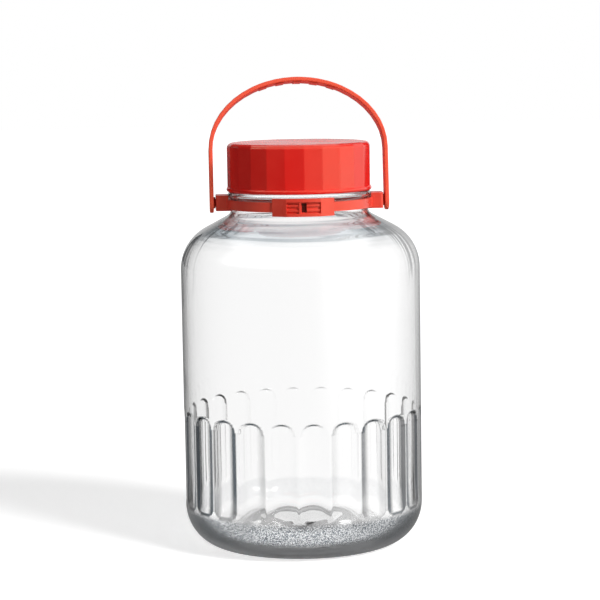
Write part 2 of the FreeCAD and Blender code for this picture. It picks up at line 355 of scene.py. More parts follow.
def glossLevel(tree, x, y, height):
    s = seenByGloss
    level = mixNumbers(tree, easeNode(tree, x, *s["leftToRight"], 0, 1), s["left"], s["front"])
    wall = easeNode(tree, height, *s["rearRise"], s["rearLow"], s["rear"])
    level = mixNumbers(tree, easeNode(tree, y, *s["rearSide"], 0, 1), level, wall)
    behind = easeNode(tree, y, *s["frontToRear"], 0, 1)
    banded = mixNumbers(tree, easeNode(tree, height, *s["darkRise"], 0, 1), level, s["darkBand"])
    level = mixNumbers(tree, behind, level, banded)
    lit = mixNumbers(tree, behind, easeNode(tree, height, *s["overheadFront"], 0, 1),
                     easeNode(tree, height, *s["overheadRear"], 0, 1))
    level = mixNumbers(tree, lit, level, easeNode(tree, height, *s["zenithRise"], s["overhead"], s["zenith"]))
    panel = timesNode(tree, easeNode(tree, x, *s["softboxSide"], 0, 1),
                      bandNode(tree, height, s["softboxFoot"], s["softboxTop"]))
    level = mixNumbers(tree, panel, level,
                       easeNode(tree, y, *s["softboxBack"], s["softbox"], s["softboxRear"]))
    turn = mathNode(tree, "DEGREES", mathNode(tree, "ARCTAN2", x, mathNode(tree, "MULTIPLY", y, -1.0)))
    sides = [bandNode(tree, turn, rise, fall) for rise, fall in s["windowTurns"]]
    window = timesNode(tree, mathNode(tree, "MAXIMUM", *sides),
                       bandNode(tree, height, s["windowFoot"], s["windowTop"]))
    return mixNumbers(tree, window, level, s["window"])


def makeWorld():
    world = bpy.data.worlds.new("studio")
    bpy.context.scene.world = world
    world.use_nodes = True
    tree = world.node_tree
    tree.nodes.clear()
    place = addNode(tree, "ShaderNodeTexCoord")
    split = addNode(tree, "ShaderNodeSeparateXYZ")
    tree.links.new(place.outputs["Generated"], split.inputs[0])
    height = mathNode(tree, "DEGREES", mathNode(tree, "ARCSINE", split.outputs["Z"]))
    paths = addNode(tree, "ShaderNodeLightPath")
    sheen = glossLevel(tree, split.outputs["X"], split.outputs["Y"], height)
    through = throughLevel(tree, height, paths.outputs["Glossy Depth"])
    strength = mixNumbers(tree, paths.outputs["Is Glossy Ray"], studio["fill"], sheen)
    strength = mixNumbers(tree, paths.outputs["Is Transmission Ray"], strength, through)
    strength = mixNumbers(tree, paths.outputs["Is Camera Ray"], strength, 1.0)
    background = addNode(tree, "ShaderNodeBackground")
    background.inputs["Color"].default_value = (1, 1, 1, 1)
    tree.links.new(strength, background.inputs["Strength"])
    output = addNode(tree, "ShaderNodeOutputWorld")
    tree.links.new(background.outputs[0], output.inputs["Surface"])


def makeFloor():
    deselectAll()
    bpy.ops.mesh.primitive_plane_add(size=studio["floorSize"], location=(0, 0, 0))
    floor = nameNew("floor")
    material = bpy.data.materials.new("paleFloor")
    material.use_nodes = True
    tree = material.node_tree
    tree.nodes.clear()
    diffuse = addNode(tree, "ShaderNodeBsdfDiffuse")
    diffuse.inputs["Color"].default_value = studio["floorColour"]
    glow = addNode(tree, "ShaderNodeEmission")
    paths = addNode(tree, "ShaderNodeLightPath")
    plug(tree, mathNode(tree, "MULTIPLY", paths.outputs["Is Camera Ray"], studio["floorGlow"]),
         glow.inputs["Strength"])
    both = addNode(tree, "ShaderNodeAddShader")
    tree.links.new(diffuse.outputs[0], both.inputs[0])
    tree.links.new(glow.outputs[0], both.inputs[1])
    output = addNode(tree, "ShaderNodeOutputMaterial")
    tree.links.new(both.outputs[0], output.inputs["Surface"])
    floor.data.materials.append(material)
    floor.visible_transmission = False
    floor.visible_glossy = False


def makeKeyLight():
    data = bpy.data.lights.new("keyLight", "SUN")
    data.energy = studio["keyPower"]
    data.angle = math.radians(studio["keySoftness"])
    lamp = bpy.data.objects.new("keyLight", data)
    bpy.context.collection.objects.link(lamp)
    turn, height = math.radians(studio["keyTurn"]), math.radians(studio["keyHeight"])
    place = Vector((math.sin(turn) * math.cos(height), -math.cos(turn) * math.cos(height), math.sin(height)))
    lamp.rotation_euler = (-place).to_track_quat("-Z", "Y").to_euler()
    lamp.visible_glossy = False


cardSizes = {
    "place": (-0.43, 0.32, 0.30), "size": (0.64, 0.21, 1), "turn": 49.0,
    "colour": (0.01, 0.01, 0.01, 1),
}


def makeShadeCard():
    # a black card at the left, behind the lid, which only gloss sees
    deselectAll()
    bpy.ops.mesh.primitive_plane_add(size=1, location=cardSizes["place"])
    card = nameNew("shadeCard")
    card.scale = cardSizes["size"]
    card.rotation_euler = (math.radians(90), 0, math.radians(cardSizes["turn"]))
    material = bpy.data.materials.new("blackCard")
    material.use_nodes = True
    shader = material.node_tree.nodes["Principled BSDF"]
    shader.inputs["Base Color"].default_value = cardSizes["colour"]
    shader.inputs["Roughness"].default_value = 1.0
    shader.inputs["Specular IOR Level"].default_value = 0.0
    card.data.materials.append(material)
    for sight in ("camera", "diffuse", "transmission", "volume_scatter", "shadow"):
        setattr(card, "visible_" + sight, False)


makeWorld()
makeFloor()
makeKeyLight()
makeShadeCard()
bpy.context.scene.view_settings.view_transform = "Standard"
# light turns many times inside the thick heel, and would be cut off black
bpy.context.scene.cycles.max_bounces = 20
bpy.context.scene.cycles.glossy_bounces = 14
bpy.context.scene.cycles.transmission_bounces = 18
print("room and light set")


def makeGrainGroup():
    # fine moulded grain: a height, a patchy gloss and a slight drift of colour
    group = bpy.data.node_groups.new("mouldedGrain", "ShaderNodeTree")
    for name, value in (("Grain Scale", 900.0), ("Patch Scale", 60.0)):
        socket = group.interface.new_socket(name=name, in_out="INPUT", socket_type="NodeSocketFloat")
        socket.default_value = value
    for name in ("Grain", "Patches"):
        group.interface.new_socket(name=name, in_out="OUTPUT", socket_type="NodeSocketFloat")
    inside = addNode(group, "NodeGroupInput")
    outside = addNode(group, "NodeGroupOutput")
    place = addNode(group, "ShaderNodeTexCoord")
    for scale, detail, out in (("Grain Scale", 3.0, "Grain"), ("Patch Scale", 4.0, "Patches")):
        noise = noiseNode(group, place.outputs["Object"], inside.outputs[scale], detail)
        group.links.new(noise, outside.inputs[out])
    return group


mouldedGrain = makeGrainGroup()
patchRange = (0.30, 0.70)


def makeRedPlastic(name, finish):
    material = bpy.data.materials.new(name)
    material.use_nodes = True
    tree = material.node_tree
    shader = tree.nodes["Principled BSDF"]
    grain = addNode(tree, "ShaderNodeGroup", node_tree=mouldedGrain)
    grain.inputs["Grain Scale"].default_value = finish["grainScale"]
    grain.inputs["Patch Scale"].default_value = finish["patchScale"]
    drift = easeNode(tree, grain.outputs["Patches"], *patchRange, 0, 1)
    plug(tree, mixColours(tree, drift, finish["deep"], finish["bright"]), shader.inputs["Base Color"])
    gloss = mixNumbers(tree, drift, finish["smooth"], finish["dull"])
    plug(tree, gloss, shader.inputs["Roughness"])
    plug(tree, bumpNode(tree, grain.outputs["Grain"], finish["grainStrength"], finish["grainDepth"]),
         shader.inputs["Normal"])
    shader.inputs["IOR"].default_value = finish["index"]
    shader.inputs["Specular Tint"].default_value = finish["sheenTint"]
    return material


lidFinish = {
    "deep": (0.82, 0.014, 0.012, 1), "bright": (0.86, 0.022, 0.017, 1), "index": 1.45,
    "smooth": 0.18, "dull": 0.25, "grainScale": 1100.0, "patchScale": 30.0,
    "grainStrength": 0.25, "grainDepth": 0.00004, "sheenTint": (0.38, 0.88, 0.55, 1),
}
collarFinish = {
    "deep": (0.82, 0.055, 0.034, 1), "bright": (0.87, 0.078, 0.049, 1), "index": 1.45,
    "smooth": 0.26, "dull": 0.34, "grainScale": 1300.0, "patchScale": 40.0,
    "grainStrength": 0.30, "grainDepth": 0.00005, "sheenTint": (0.55, 0.80, 0.55, 1),
}
gapShadeFinish = dict(collarFinish, deep=(0.10, 0.004, 0.004, 1), bright=(0.14, 0.006, 0.005, 1),
                 smooth=0.6, dull=0.7)
handleFinish = {
    "deep": (0.92, 0.112, 0.062, 1), "bright": (0.96, 0.138, 0.077, 1), "index": 1.22,
    "smooth": 0.42, "dull": 0.50, "grainScale": 1300.0, "patchScale": 40.0,
    "grainStrength": 0.25, "grainDepth": 0.00004, "sheenTint": (0.60, 0.78, 0.55, 1),
}
lidPlastic = makeRedPlastic("lidPlastic", lidFinish)
collarPlastic = makeRedPlastic("collarPlastic", collarFinish)
# painted shade: a near-black red for the deep joint where the collar's ends meet
collarGapShade = makeRedPlastic("collarGapShade", gapShadeFinish)   # the shaded joint where the collar's ends meet
handlePlastic = makeRedPlastic("handlePlastic", handleFinish)

# a pair says where something fades in or out: shares of the turn away, heights in metres or noise levels
glassFinish = {
    "clear": (1.0, 1.0, 1.0, 1), "index": 1.5,
    # painted shade: the glass takes this dark colour where it is seen edge on, in place of the dark
    # surroundings seen there
    "edge": (0.016, 0.021, 0.026, 1),   # what shows where the wall is seen edge on
    "edgeTurn": (0.69, 0.88), "fluteShadeTurn": (0.03, 0.36), "fluteShadeBehind": 0.14,
    "heelTurn": (0.22, 0.56), "heelWall": (1.0, 1.9), "heelShare": 0.92,
    "ripples": 26.0, "rippleDepth": 0.00035,
    # level streaks in the shoulder, where the glass was drawn in: ripples in its surface, and painted grey
    # shade along them
    "shoulderTint": (0.56, 0.60, 0.63, 1), "streaks": (9, 9, 150), "streakLevels": (0.30, 0.60),
    "streakFaint": 0.25, "streakDepth": 0.0014,
    "streakRise": (0.222, 0.234), "streakFall": (0.236, 0.244), "neckFall": (0.247, 0.252),
    # painted shade: thin dark runs down the shoulder, which show only near its outline
    "runsRound": 17, "runsUp": 12.5, "runLevels": (0.49, 0.57), "runTurn": (0.50, 0.64), "runShare": 0.90,
    "runRise": (0.185, 0.215), "runFall": (0.238, 0.246),
    # stipple on the base and heel: bumps that roughen the surface, and painted grey shade specks in its
    # colour
    "stipplePale": (0.86, 0.88, 0.90, 1), "stippleDeep": (0.08, 0.10, 0.12, 1), "stippleLevels": (0.42, 0.60),
    "stipples": 1150.0, "stippleDepth": 0.00040, "stippleBehind": 0.30,
    "bumpStrength": 0.5,
}


def glassShadeShare(tree, place, height, back, marks, wall):
    # painted shade: how much of the glass's colour turns dark, mostly where it is seen edge on
    g = glassFinish
    weight = addNode(tree, "ShaderNodeLayerWeight")
    weight.inputs["Blend"].default_value = 0.5
    facing = weight.outputs["Facing"]
    outside = mixNumbers(tree, back, wall, 0.0)
    onEdge = timesNode(tree, easeNode(tree, facing, *g["edgeTurn"], 0, 1), outside)
    # painted shade along the flutes' steep edges and round the foot, stronger where seen aslant
    onFluteAndHeelShade = timesNode(tree, easeNode(tree, facing, *g["fluteShadeTurn"], 0, 1), marks,
                        mixNumbers(tree, back, 1.0, g["fluteShadeBehind"]))
    # painted shade: the thick heel, where the stored wall goes up to 2, darkens well before it turns edge on
    onHeel = timesNode(tree, easeNode(tree, outside, *g["heelWall"], 0, g["heelShare"]),
                       easeNode(tree, facing, *g["heelTurn"], 0, 1))
    around = vectorNode(tree, "NORMALIZE", vectorNode(tree, "MULTIPLY", place, (1, 1, 0)))
    around = vectorNode(tree, "MULTIPLY", around, (g["runsRound"],) * 3)
    runs = noiseNode(tree, vectorNode(tree, "MULTIPLY_ADD", place, (0, 0, g["runsUp"]), around), 1.0, 1.0)
    onShoulderShade = timesNode(tree, easeNode(tree, runs, *g["runLevels"], 0, g["runShare"]),
                       easeNode(tree, facing, *g["runTurn"], 0, 1),
                       bandNode(tree, height, g["runRise"], g["runFall"]), outside)
    dark = onEdge
    for share in (onFluteAndHeelShade, onHeel, onShoulderShade):
        dark = mathNode(tree, "MAXIMUM", dark, share)
    return dark


def makeClearGlass():
    g = glassFinish
    material = bpy.data.materials.new("clearGlass")
    material.use_nodes = True
    tree = material.node_tree
    shader = tree.nodes["Principled BSDF"]
    place = addNode(tree, "ShaderNodeTexCoord").outputs["Object"]
    split = addNode(tree, "ShaderNodeSeparateXYZ")
    plug(tree, place, split.inputs[0])
    height = split.outputs["Z"]
    back = addNode(tree, "ShaderNodeNewGeometry").outputs["Backfacing"]
    marks, speckled, wall = (addNode(tree, "ShaderNodeAttribute", attribute_name=name).outputs["Fac"]
                             for name in ("fluteAndHeelShade", "stippleMask", "outerWall"))
    streaks = noiseNode(tree, vectorNode(tree, "MULTIPLY", place, g["streaks"]), 1.0, 1.0)
    specks = noiseNode(tree, place, g["stipples"], 2.0)
    ripple = noiseNode(tree, place, g["ripples"], 1.0)
    # painted shade: a grey band along the shoulder's streaks
    drawn = timesNode(tree, bandNode(tree, height, g["streakRise"], g["streakFall"]), wall,
                      easeNode(tree, streaks, *g["streakLevels"], g["streakFaint"], 1))
    body = mixColours(tree, drawn, g["clear"], g["shoulderTint"])
    # painted shade: the stippled glass takes grey specks in its colour
    stippled = mixColours(tree, easeNode(tree, specks, *g["stippleLevels"], 0, 1),
                          g["stippleDeep"], g["stipplePale"])
    body = mixColours(tree, timesNode(tree, speckled, mixNumbers(tree, back, 1.0, g["stippleBehind"])),
                      body, stippled)
    # painted shade: the glass's colour turns dark at its outline, along the flutes' steep edges, round the
    # heel and in streaks near the shoulder's outline
    dark = glassShadeShare(tree, place, height, back, marks, wall)
    plug(tree, mixColours(tree, dark, body, g["edge"]), shader.inputs["Base Color"])
    waves = timesNode(tree, streaks, bandNode(tree, height, g["streakRise"], g["neckFall"]), g["streakDepth"])
    for more in (timesNode(tree, ripple, g["rippleDepth"]),
                 timesNode(tree, speckled, specks, g["stippleDepth"])):
        waves = mathNode(tree, "ADD", waves, more)
    plug(tree, bumpNode(tree, waves, g["bumpStrength"], 1.0), shader.inputs["Normal"])
    shader.inputs["Roughness"].default_value = 0.0
    shader.inputs["IOR"].default_value = g["index"]
    shader.inputs["Transmission Weight"].default_value = 1.0
    return material


clearGlass = makeClearGlass()
print("finishes made")

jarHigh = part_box("glass_jar")[1]
jarSizes = {
    "body": jarHigh[0], "rimTop": jarHigh[2],
    "footOuter": 60.5 * mm, "footInner": 49.0 * mm, "heel": 31.0 * mm,
    "wallTop": 205.9 * mm, "shoulder": 34.7 * mm, "slope": 28.1,
    "neck": 50.5 * mm, "fillet": 6.0 * mm,
    "bead": 52.8 * mm, "beadLow": 258.3 * mm, "beadHigh": 263.1 * mm, "beadFullness": 0.8,
    "finish": 50.0 * mm, "finishStart": 0.4 * mm, "rimRound": 1.2 * mm,
    "wall": 3.5 * mm, "bore": 46.8 * mm, "innerHeel": 22.0 * mm, "floor": 8.5 * mm,
    "pushUp": 8.5 * mm, "middleGlass": 7.0 * mm, "pushFlat": 27.0 * mm,
    "neckStart": 24 * mm, "neckNear": 1.5 * mm,   # above this the outside is told by its radius
    "thickTop": 24 * mm, "thickFade": 10 * mm,    # the thick heel ends a little above here
    "smoothAngle": 60,
}
# how many steps each run of the outline is drawn in
jarSteps = {
    "pushUp": 18, "foot": 9, "heel": 20, "belowFlutes": 5, "fluteWall": 4, "fluteTop": 18, "aboveFlutes": 3,
    "neck": 2, "bead": 10, "finish": 2, "rim": 3, "bore": 3, "innerWall": 4, "innerHeel": 12, "floor": 3,
    "middle": 10, "shoulder": 16, "slope": 2, "fillet": 8,
}
fluteSizes = {
    "count": 24, "turn": -5.7, "land": 1.6 * mm, "depth": 1.6 * mm,
    "top": 103.6 * mm, "topRise": 8.8 * mm, "bottom": 30.0 * mm, "bottomRise": 5.5 * mm,
    "crestWidth": 2.4 * mm, "crestColumns": 4, "panelColumns": 10,
    "stepWidth": 2.8 * mm, "panelPower": 2.5, "crestSoft": 0.14,
    "footFade": 15 * mm, "footDepth": 0.14,   # a flute is shallower towards its foot
    "margin": 2 * mm, "leastShare": 0.001,
}
# painted shade: dark lines where a flute is steep, in place of the dark that refraction shows there
fluteShadeSizes = {"reach": 0.3 * mm, "steep": 0.05, "range": 0.14, "low": 29 * mm, "fade": 2 * mm}
# painted shade: a grey band round the foot, darker towards the bottom
heelShade = {"share": 0.90, "top": 16 * mm, "fade": 5 * mm}   # the grey band round the foot
stippleSizes = {
    "inner": 38 * mm, "outer": 60 * mm, "low": 9 * mm, "top": 32 * mm, "depth": 0.28 * mm, "seed": 7,
    "margin": 3 * mm, "fade": 4 * mm, "lowFade": 5 * mm,
}


def ogeePoints(start, end, steps):
    points = []
    for step in range(1, steps + 1):
        t = step / steps
        points.append((start[0] + (end[0] - start[0]) * t,
                       start[1] + (end[1] - start[1]) * (3 * t * t - 2 * t ** 3)))
    return points


def shoulderPoints(offset, neck, fillet):
    slope = math.radians(jarSizes["slope"])
    centre = (jarSizes["body"] - jarSizes["shoulder"], jarSizes["wallTop"])
    points = arcPoints(centre, jarSizes["shoulder"] - offset, 0, 90 - jarSizes["slope"],
                       jarSteps["shoulder"])[1:]
    endR, endZ = points[-1]
    middleR = neck + fillet
    middleZ = endZ + (fillet - (middleR - endR) * math.sin(slope)) / math.cos(slope)
    start = (middleR - fillet * math.sin(slope), middleZ - fillet * math.cos(slope))
    points += runPoints(points[-1], start, jarSteps["slope"])
    points += arcPoints((middleR, middleZ), fillet, 270 - jarSizes["slope"], 180, jarSteps["fillet"])[1:]
    return points


def jarOutline():
    s, f, n = jarSizes, fluteSizes, jarSteps
    points = [(0, s["pushUp"]), (s["pushFlat"] / 2, s["pushUp"]), (s["pushFlat"], s["pushUp"])]
    points += ogeePoints(points[-1], (s["footInner"], 0), n["pushUp"])
    points += runPoints(points[-1], (s["footOuter"], 0), n["foot"])
    width = s["body"] - s["footOuter"]
    for step in range(1, n["heel"] + 1):
        turn = math.radians(90 * step / n["heel"])
        points.append((s["footOuter"] + width * math.sin(turn), s["heel"] * (1 - math.cos(turn))))
    for height, steps in ((f["bottom"] + f["bottomRise"] + mm, n["belowFlutes"]),
                          (f["top"] - f["topRise"] - mm, n["fluteWall"]),
                          (f["top"] + mm, n["fluteTop"]), (s["wallTop"], n["aboveFlutes"])):
        points += runPoints(points[-1], (s["body"], height), steps)
    points += shoulderPoints(0, s["neck"], s["fillet"])
    points += runPoints(points[-1], (s["neck"], s["beadLow"]), n["neck"])
    beadMiddle, beadHalf = (s["beadLow"] + s["beadHigh"]) / 2, (s["beadHigh"] - s["beadLow"]) / 2
    for step in range(1, n["bead"] + 1):
        turn = math.pi * step / n["bead"]
        swell = (s["bead"] - s["neck"]) * max(math.sin(turn), 0) ** s["beadFullness"]
        points.append((s["neck"] + swell, beadMiddle - beadHalf * math.cos(turn)))
    points += [(s["finish"], s["beadHigh"] + s["finishStart"])]
    rim = s["rimTop"] - s["rimRound"]
    points += runPoints(points[-1], (s["finish"], rim), n["finish"])
    points += arcPoints((s["finish"] - s["rimRound"], rim), s["rimRound"], 0, 90, n["rim"])[1:]
    points += arcPoints((s["bore"] + s["rimRound"], rim), s["rimRound"], 90, 180, n["rim"])
    inner = shoulderPoints(s["wall"], s["bore"], s["fillet"] + s["wall"])
    points += runPoints(points[-1], inner[-1], n["bore"])
    points += inner[-2::-1]
    inside = s["body"] - s["wall"]
    points.append((inside, s["wallTop"]))
    heelTop = s["floor"] + s["innerHeel"]
    points += runPoints(points[-1], (inside, heelTop), n["innerWall"])
    points += arcPoints((inside - s["innerHeel"], heelTop), s["innerHeel"], 0, -90, n["innerHeel"])[1:]
    points += runPoints(points[-1], (s["footInner"] + s["wall"], s["floor"]), n["floor"])
    floorMiddle = s["pushUp"] + s["middleGlass"]
    points += ogeePoints(points[-1], (s["pushFlat"], floorMiddle), n["middle"])
    points += [(s["pushFlat"] / 2, floorMiddle), (0, floorMiddle)]
    return points


def ease(value):
    t = min(max(value, 0), 1)
    return t * t * (3 - 2 * t)


def fluteShare(across, height):
    # share of a flute's full depth at a place across it and up it
    f = fluteSizes
    half = (2 * math.pi * jarSizes["body"] / f["count"] - f["land"]) / 2
    bowl = 1 - abs(across / half) ** f["panelPower"]
    bowl = (bowl + math.sqrt(bowl * bowl + f["crestSoft"] ** 2)) / 2
    edge = 1.0
    top, foot = f["top"] - f["topRise"], f["bottom"] + f["bottomRise"]
    for past, rise in ((height - top, f["topRise"]), (foot - height, f["bottomRise"])):
        if past > 0:
            reach = (across / half) ** 2 + (past / rise) ** 2
            fall = math.hypot(across / half ** 2, past / rise ** 2)
            edge = ease((1 - reach) / (2 * fall) / f["stepWidth"])
    return bowl * edge


def footShare(height):
    f = fluteSizes
    return f["footDepth"] + (1 - f["footDepth"]) * ease((height - f["bottom"]) / f["footFade"])


def fluteShadeShare(across, height):
    # how steep the flute is there, which is where its painted shade lines show
    m = fluteShadeSizes
    step = m["reach"]
    sideways = fluteShare(across + step, height) - fluteShare(across - step, height)
    upwards = fluteShare(across, height + step) - fluteShare(across, height - step)
    steep = math.hypot(sideways, upwards) * fluteSizes["depth"] / (2 * step)
    return ease((steep - m["steep"]) / m["range"]) * ease((height - m["low"]) / m["fade"])


def outerParts(far, height):
    # whether a place is on the outside below the shoulder, and on the outside at all
    s = jarSizes
    if height > s["wallTop"] + s["neckStart"]:
        return False, far > s["neck"] - s["neckNear"]
    if height > s["wallTop"]:
        reach = math.hypot(far - s["body"] + s["shoulder"], height - s["wallTop"])
        return False, reach > s["shoulder"] - s["wall"] / 2
    outer = far > s["body"] - s["wall"] / 2
    if height < s["heel"]:
        rise = math.sqrt(max(0, 1 - (1 - height / s["heel"]) ** 2))
        outer = far > s["footOuter"] + (s["body"] - s["footOuter"]) * rise - mm
    return outer, outer


def makeJar():
    s, f = jarSizes, fluteSizes
    jar = drawOutline("glassJar", jarOutline())
    bpy.ops.mesh.select_all(action="SELECT")
    pitch = 2 * math.pi / f["count"]
    crest = f["crestWidth"] / s["body"]
    for angle, steps in ((crest, f["crestColumns"]), (pitch - 2 * crest, f["panelColumns"]),
                         (crest, f["crestColumns"])):
        spinOn(angle, steps)
    bpy.ops.mesh.select_all(action="SELECT")
    spinOn(2 * math.pi - pitch, f["count"] - 1, copies=True)
    closeUp(jar)
    jar.rotation_euler = (0, 0, math.radians(f["turn"] - 90))
    settle(jar)
    groups = {name: jar.vertex_groups.new(name=name) for name in ("flutes", "stipple")}
    stored = {name: [0.0] * len(jar.data.vertices) for name in ("fluteAndHeelShade", "stippleMask", "outerWall")}
    marks, speckled, walls = stored.values()
    chance = random.Random(stippleSizes["seed"])
    for vertex in jar.data.vertices:
        index, height = vertex.index, vertex.co.z
        far = math.hypot(vertex.co.x, vertex.co.y)
        below, outer = outerParts(far, height)
        under = height < s["pushUp"] - hair
        if outer:
            walls[index] = 2.0 - ease((height - s["thickTop"]) / s["thickFade"])
        # painted shade: the grey band round the foot, stored with the flutes' painted shade
        if below and height < heelShade["top"]:
            marks[index] = heelShade["share"] * ease((heelShade["top"] - height) / heelShade["fade"])
        if below and f["bottom"] - f["margin"] < height < f["top"] + f["margin"]:
            turn = math.atan2(vertex.co.y, vertex.co.x) + math.pi / 2 - math.radians(f["turn"])
            across = (turn % pitch - pitch / 2) * s["body"]
            share = fluteShare(across, height) * footShare(height)
            if share > f["leastShare"]:
                groups["flutes"].add([index], share, "REPLACE")
            # painted shade along the flute's steep edges
            marks[index] = fluteShadeShare(across, height)
        if far > stippleSizes["inner"] - stippleSizes["margin"] and (below or under):
            speckled[index] = (ease((far - stippleSizes["inner"]) / stippleSizes["fade"] + 0.5)
                               * ease((stippleSizes["top"] - height) / stippleSizes["fade"]))
            if below:
                speckled[index] *= ease((height - stippleSizes["low"]) / stippleSizes["lowFade"])
        if under and stippleSizes["inner"] < far < stippleSizes["outer"]:
            groups["stipple"].add([index], chance.random(), "REPLACE")
    for name, depth in (("flutes", f["depth"]), ("stipple", stippleSizes["depth"])):
        modifier = jar.modifiers.new(name, "DISPLACE")
        modifier.strength = -depth
        modifier.mid_level = 0
        modifier.vertex_group = name
    applyModifiers(jar)
    jar.vertex_groups.clear()
    for name, values in stored.items():
        jar.data.attributes.new(name, "FLOAT", "POINT")
        jar.data.attributes[name].data.foreach_set("value", values)
    pick(jar)
    bpy.ops.object.shade_smooth_by_angle(angle=math.radians(s["smoothAngle"]))
    jar.data.materials.append(clearGlass)
    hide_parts("glass_jar")
    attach(jar, "jar")
    print("glass jar made:", len(jar.data.polygons), "faces")


makeJar()

lidSizes = {
    "facets": 24, "turn": 0.9, "radius": 52.9 * mm, "low": 263.4 * mm, "high": 299.0 * mm,
    "corner": 0.6 * mm, "cornerSteps": 2, "edgeRound": 3.6 * mm, "edgeSteps": 7,
    "skirt": 1.95 * mm, "roof": 2.0 * mm,
    "beadRadius": 53.6 * mm, "beadHeight": 3.1 * mm, "beadSink": 0.3 * mm, "beadRoot": 0.4 * mm,
    "beadSteps": 8, "rimSteps": 144,
}


def makeLid():
    s = lidSizes
    height = s["high"] - s["low"]
    deselectAll()
    bpy.ops.mesh.primitive_cylinder_add(vertices=s["facets"], radius=s["radius"], depth=height,
                                        location=(0, 0, s["low"] + height / 2),
                                        rotation=(0, 0, math.radians(s["turn"])))
    lid = nameNew("screwLid")
    settle(lid)
    selectEdges(lid, lambda middle, along: abs(along.z) > 0.99)
    bpy.ops.mesh.bevel(offset=s["corner"], segments=s["cornerSteps"], affect="EDGES")
    selectEdges(lid, lambda middle, along: middle.z > s["high"] - hair)
    bpy.ops.mesh.bevel(offset=s["edgeRound"], segments=s["edgeSteps"], profile=0.5, affect="EDGES")
    selectFaces(lid, lambda middle, normal: normal.z < -0.99)
    bpy.ops.mesh.inset(thickness=s["skirt"])
    bpy.ops.mesh.extrude_region_move(TRANSFORM_OT_translate={"value": (0, 0, height - s["roof"])})
    closeUp(lid)
    # a rounded bead that grows out of the skirt all round
    inner = s["radius"] - s["skirt"] + s["beadRoot"]
    root = s["radius"] - s["beadSink"]
    middle = s["low"] + s["beadHeight"] / 2
    points = [(inner, s["low"])]
    for step in range(s["beadSteps"] + 1):
        turn = math.pi * (step / s["beadSteps"] - 0.5)
        points.append((root + (s["beadRadius"] - root) * math.cos(turn),
                       middle + s["beadHeight"] / 2 * math.sin(turn)))
    points.append((inner, s["low"] + s["beadHeight"]))
    bead = drawOutline("lidBead", points, closed=True)
    bpy.ops.mesh.select_all(action="SELECT")
    spinOn(2 * math.pi, s["rimSteps"])
    closeUp(bead)
    cutOrJoin(lid, bead, "UNION")
    closeUp(lid)
    shadeMoulded(lid)
    lid.data.materials.clear()
    lid.data.materials.append(lidPlastic)
    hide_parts("screw_lid")
    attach(lid, "jar")
    print("lid made:", len(lid.data.polygons), "faces")


makeLid()

collarSizes = {
    "bandInner": 50.9 * mm, "bandOuter": 54.0 * mm, "bandLow": 250.9 * mm, "bandHigh": 257.8 * mm,
    "ledge": 53.2 * mm, "roomDrop": 4 * mm, "roomHeight": 20 * mm, "steps": 144,
    "lugReach": 61.7 * mm, "lugDepth": 17.0 * mm, "lugSink": 6 * mm,
    "lugLow": 249.5 * mm, "lugHigh": 261.0 * mm, "lugRound": 2.0 * mm, "lugSteps": 5,
    "claspRadius": 58.0 * mm, "claspHalf": 22.4 * mm, "claspLow": 248.0 * mm, "claspHigh": 260.8 * mm,
    "claspSink": 0.5 * mm, "claspColumn": 2.5 * mm, "flatHalf": 12.6 * mm, "endRadius": 55.0 * mm,
    "windowHalf": 12.3 * mm, "windowLow": 250.2 * mm, "windowHigh": 258.4 * mm, "windowDepth": 2.4 * mm,
    "postLeft": -3.5 * mm, "postRight": -2.1 * mm, "postProud": 2.0 * mm,
    "slotLeft": -1.5 * mm, "slotRight": 2.2 * mm, "slotLow": 250.9 * mm, "slotHigh": 257.6 * mm,
    "slotDepth": 1.6 * mm, "gapSink": 0.4 * mm, "faceNear": 0.3 * mm,
    "ribs": (252.4 * mm, 255.9 * mm), "ribHeight": 1.3 * mm, "ribProud": 1.3 * mm,
    "pinHeight": 255.2 * mm, "boreRadius": 3.05 * mm, "boreStart": 56.0 * mm, "boreLength": 12 * mm,
    "boreSteps": 48, "edge": 0.35 * mm, "edgeSteps": 2, "edgeAngle": 35,
}


def pushFaces(piece, wanted, distance):
    # moves a patch of the outer face in or out, with new walls round it
    selectFaces(piece, wanted)
    bpy.ops.mesh.extrude_region_shrink_fatten(TRANSFORM_OT_shrink_fatten={"value": distance})
    backToObject()


